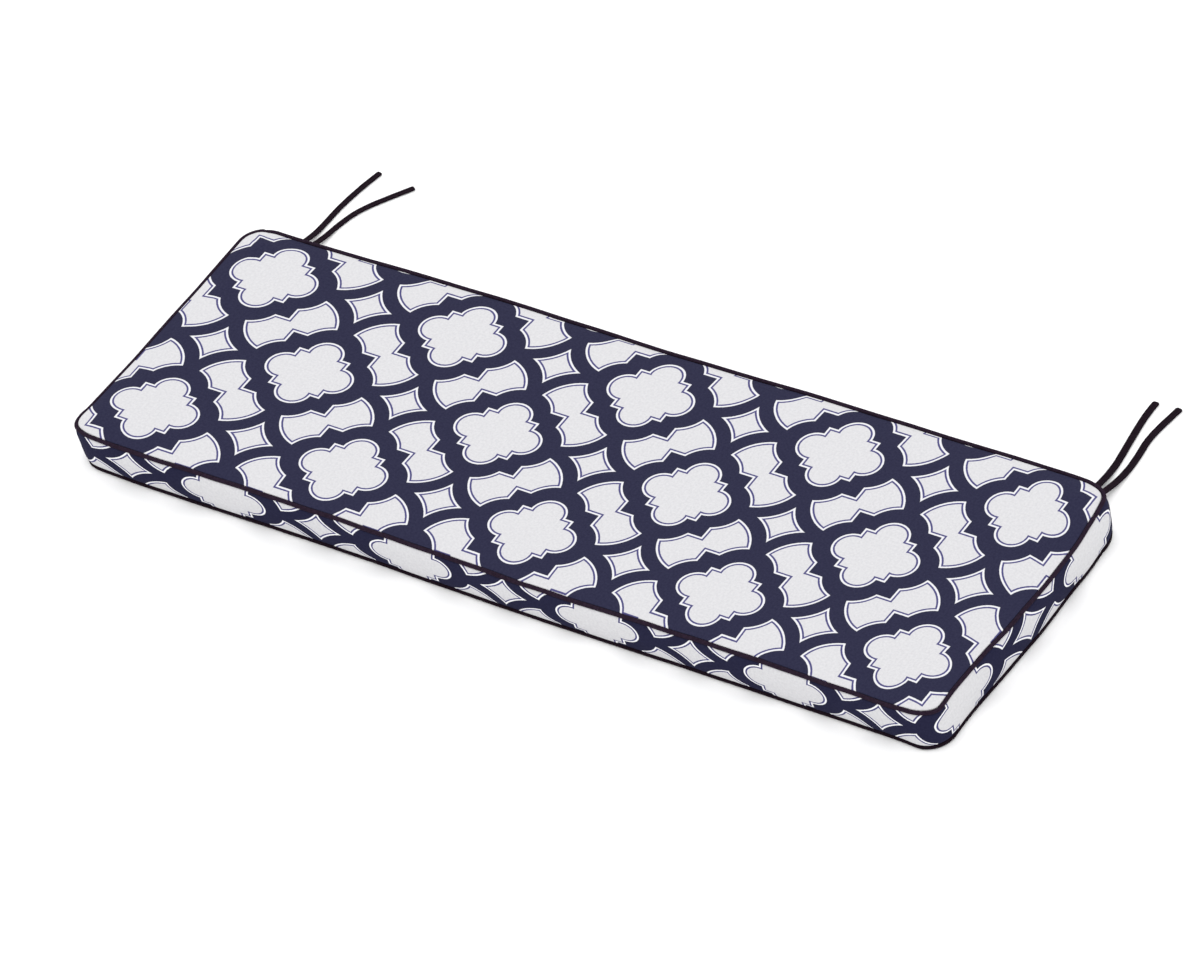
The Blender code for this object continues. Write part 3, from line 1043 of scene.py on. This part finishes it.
def coverFaces(section, count):
    # Corners and panel of every face: rings from the top over the boxing, then the two panels.
    faces, panels = [], []
    for row in range(len(section) - 1):
        for index in range(count):
            after = (index + 1) % count
            faces.append((row * count + index, (row + 1) * count + index,
                          (row + 1) * count + after, row * count + after))
            panels.append(section[row][3])
    firstInner = len(section) * count
    for row, panel in ((0, "top"), (len(section) - 1, "bottom")):
        front, back, left, right = sidesOf(count)
        number = np.zeros((len(left), len(front)), int)
        number[0], number[-1], number[:, 0], number[:, -1] = front, back, left, right
        number += row * count
        innerCount = (len(left) - 2) * (len(front) - 2)
        number[1:-1, 1:-1] = (firstInner + np.arange(innerCount)).reshape(len(left) - 2, -1)
        firstInner += innerCount
        for y in range(len(left) - 1):
            for x in range(len(front) - 1):
                face = (number[y, x], number[y, x + 1], number[y + 1, x + 1], number[y + 1, x])
                faces.append(face if panel == "top" else face[::-1])
                panels.append(panel)
    return [tuple(int(corner) for corner in face) for face in faces], panels


def coverMesh():
    section, count, points, plans, pinned = coverPoints()
    faces, panels = coverFaces(section, count)
    mesh = bpy.data.meshes.new("cushionCover")
    mesh.from_pydata(points.tolist(), [], faces)

    # cloth map in metres: the panels in plan, the boxing by the way round and its height
    order = ["top", "strip", "bottom"]
    runs, around = boxingRuns()
    join = int(np.argmin(runs))
    eased = runs + np.interp(runs, *zip(*cover["stripEase"]))
    middleHeight = (seams["topHeight"] + seams["bottomHeight"]) / 2
    laid = layPrint(plans)
    layer = mesh.uv_layers.new(name="clothMap")
    for face, panel in zip(mesh.polygons, panels):
        face.material_index = order.index(panel)
        shiftX, shiftY = cover["mapOffset"][panel]
        closing = face.vertices[3] % count == join
        for loop, corner in zip(face.loop_indices, face.vertices):
            if panel != "strip":
                u, v = laid[corner]
            else:
                u, v = eased[corner % count], section[corner // count][1] - middleHeight
                if closing and corner % count == join:
                    u += around
            layer.data[loop].uv = (u + shiftX, v + shiftY)
    return mesh, pinned


def fillCover(piece, pinned):
    # Cloth simulation: pressure from the filling, with the seams and the underside held.
    scene = bpy.context.scene
    trial = linkObject("coverTrial", piece.data.copy())
    held = trial.vertex_groups.new(name="held")
    held.add([int(index) for index in np.flatnonzero(pinned)], 1.0, "REPLACE")
    cloth = trial.modifiers.new("Cloth", "CLOTH")
    settings = cloth.settings
    settings.quality = cover["quality"]
    settings.mass = cover["mass"]
    settings.tension_stiffness = settings.compression_stiffness = cover["stretchStiffness"]
    settings.shear_stiffness = cover["shearStiffness"]
    settings.bending_stiffness = cover["bendStiffness"]
    settings.vertex_group_mass = "held"
    settings.use_pressure = True
    settings.uniform_pressure_force = cover["pressure"]
    settings.effector_weights.gravity = 0.0
    cloth.collision_settings.use_collision = False
    cloth.point_cache.frame_start, cloth.point_cache.frame_end = 1, cover["frames"]
    for number in range(1, cover["frames"] + 1):
        scene.frame_set(number)
    count = len(trial.data.vertices)
    rest, moved = np.empty(count * 3, np.float32), np.empty(count * 3, np.float32)
    piece.data.vertices.foreach_get("co", rest)
    graph = bpy.context.evaluated_depsgraph_get()
    trial.evaluated_get(graph).data.vertices.foreach_get("co", moved)
    shift = (moved - rest).reshape(-1, 3)
    far = np.linalg.norm(shift, axis=1)
    print("cover swelled by", round(float(np.percentile(far, 95)) * 1000, 2), "mm before its cap")
    keep = cover["swell"] * np.tanh(far / cover["swell"]) / np.maximum(far, 1e-9)
    placed = rest.reshape(-1, 3) + shift * keep[:, None]
    placed[:, 2] = np.maximum(placed[:, 2], 0.0)
    piece.data.vertices.foreach_set("co", placed.astype(np.float32).ravel())
    scene.frame_set(1)
    bpy.data.objects.remove(trial)


def makeCover():
    mesh, pinned = coverMesh()
    piece = linkObject("cushionCover", mesh)
    runs, around = boxingRuns()
    for name, look, part, panel, ends in (
        ("coverTop", printedCloth, "Top", "top", None),
        ("coverBoxing", shadedBoxingCloth, "Strip", "strip", (float(runs.min()), float(runs.min() + around))),
        ("coverUnderside", printedCloth, "Top", "bottom", None),
    ):
        offset = cover["mapOffset"][panel]
        middle = [place + shift for place, shift in zip(cover["medallion" + part], offset)]
        mesh.materials.append(makePrintedCloth(name, look, middle, cover["halfRepeat" + part], ends))
    fillCover(piece, pinned)
    smooth = piece.modifiers.new("smooth", "SUBSURF")
    smooth.levels = smooth.render_levels = 1
    bake(piece, smooth)
    piece.data.shade_smooth()
    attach(piece, "root")
    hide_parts("cushion")


makeCover()
print("cover made")


studio = {
    "floorSize": 60.0,
    "floorDrop": 0.0002,  # just under the cushion
    "floor": (0.96, 0.96, 0.96, 1.0),
    "roughness": 0.9,
    "specular": 0.0,
    "world": 1.43,
    "worldColour": (1.0, 1.0, 1.0, 1.0),
    "keyPlace": (-4.5, 5.5, 9.0),
    "keySize": 5.0,
    "keyPower": 38.0,
}


def makeFloor():
    half = studio["floorSize"] / 2
    mesh = bpy.data.meshes.new("floor")
    corners = [(half * x, half * y, 0) for x, y in ((-1, -1), (1, -1), (1, 1), (-1, 1))]
    mesh.from_pydata(corners, [], [(0, 1, 2, 3)])
    paper, _, shader = clothShader("paleFloor", studio)
    shader.inputs["Base Color"].default_value = studio["floor"]
    mesh.materials.append(paper)
    floor = linkObject("floor", mesh)
    floor.location.z = -studio["floorDrop"]


def makeLight():
    scene = bpy.context.scene
    scene.view_settings.view_transform = "Standard"
    world = bpy.data.worlds.new("studioWorld")
    world.use_nodes = True
    background = world.node_tree.nodes["Background"]
    background.inputs["Color"].default_value = studio["worldColour"]
    background.inputs["Strength"].default_value = studio["world"]
    scene.world = world
    data = bpy.data.lights.new("keyLight", "AREA")
    data.shape = "DISK"
    data.size = studio["keySize"]
    data.energy = studio["keyPower"]
    key = bpy.data.objects.new("keyLight", data)
    key.location = studio["keyPlace"]
    key.rotation_mode = "QUATERNION"
    key.rotation_quaternion = (-Vector(studio["keyPlace"])).to_track_quat("-Z", "Y")
    scene.collection.objects.link(key)


makeFloor()
makeLight()
print("floor and light made")
